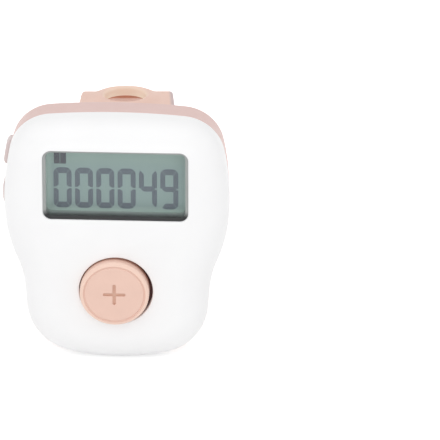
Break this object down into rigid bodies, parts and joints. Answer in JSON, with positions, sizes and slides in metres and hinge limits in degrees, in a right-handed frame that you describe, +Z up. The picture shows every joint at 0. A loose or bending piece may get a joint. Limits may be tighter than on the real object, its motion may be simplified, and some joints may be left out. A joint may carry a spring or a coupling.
{
  "type": "finger tally counter",
  "caption": "Finger-worn electronic tally counter with a number display, a round count button, side keys, a charging socket and a soft finger band with a cord eyelet.",
  "frame": {"origin": "centre of the finger loop behind the case, on the case's middle plane", "axes": "-Y out of the display face, +Z up the face towards the display's top, +X to the viewer's right, along the finger"},
  "size_m": [0.0344, 0.0248, 0.04],
  "materials": {
    "cover_white": "moulded white, satin gloss",
    "case_pink": "moulded dusty pink, satin",
    "clear_window": "clear moulded window",
    "display_film": "grey-green reflective display film",
    "display_glass": "thin clear display glass",
    "reflector_foil": "matt silver foil",
    "light_guide": "milky clear",
    "zebra_rubber": "striped conductive rubber",
    "frame_white": "moulded white",
    "board_green": "green solder mask",
    "button_peach": "moulded peach pink, satin gloss",
    "plunger_black": "black moulded",
    "switch_steel": "bright pressed steel",
    "key_pink": "moulded dusty pink, satin",
    "epoxy_black": "glossy black epoxy drop",
    "chip_tan": "matt ceramic",
    "socket_steel": "plated folded steel",
    "cell_foil": "silver laminate pouch",
    "lead_red": "insulated wire",
    "tape_foam": "white foam tape",
    "band_silicone": "matt soft silicone, pale pink",
    "screw_steel": "zinc-plated steel"
  },
  "bodies": {
    "housing": {"front_cover": "cover_white", "back_cover": "case_pink", "display_window": "clear_window", "front_polarizer": "display_film", "lcd_front_glass": "display_glass", "lcd_rear_glass": "display_glass", "reflector": "reflector_foil", "light_guide": "light_guide", "zebra_strips": "zebra_rubber", "display_frame": "frame_white", "main_board": "board_green", "count_switch": "switch_steel", "reset_switch": "switch_steel", "power_switch": "switch_steel", "controller": "epoxy_black", "crystal": "switch_steel", "board_chips": "chip_tan", "charging_socket": "socket_steel", "socket_tongue": "plunger_black", "cell": "cell_foil", "cell_board": "board_green", "cell_leads": "lead_red", "cell_tape": "tape_foam", "finger_band": "band_silicone", "case_screws": "screw_steel", "board_screws": "screw_steel"},
    "count_button": {"count_button": "button_peach", "count_plunger": "plunger_black"},
    "reset_key": {"reset_key": "key_pink", "reset_plunger": "plunger_black"},
    "power_key": {"power_key": "key_pink", "power_plunger": "plunger_black"}
  },
  "joints": [
    {"name": "count_press", "type": "slide", "parent": "housing", "child": "count_button", "axis": [0, 1, 0], "range_m": [0, 0.0005], "stiffness_N_per_m": 2400},
    {"name": "reset_press", "type": "slide", "parent": "housing", "child": "reset_key", "axis": [1, 0, 0], "range_m": [0, 0.0003], "stiffness_N_per_m": 4000},
    {"name": "power_press", "type": "slide", "parent": "housing", "child": "power_key", "axis": [1, 0, 0], "range_m": [0, 0.0003], "stiffness_N_per_m": 4000}
  ]
}
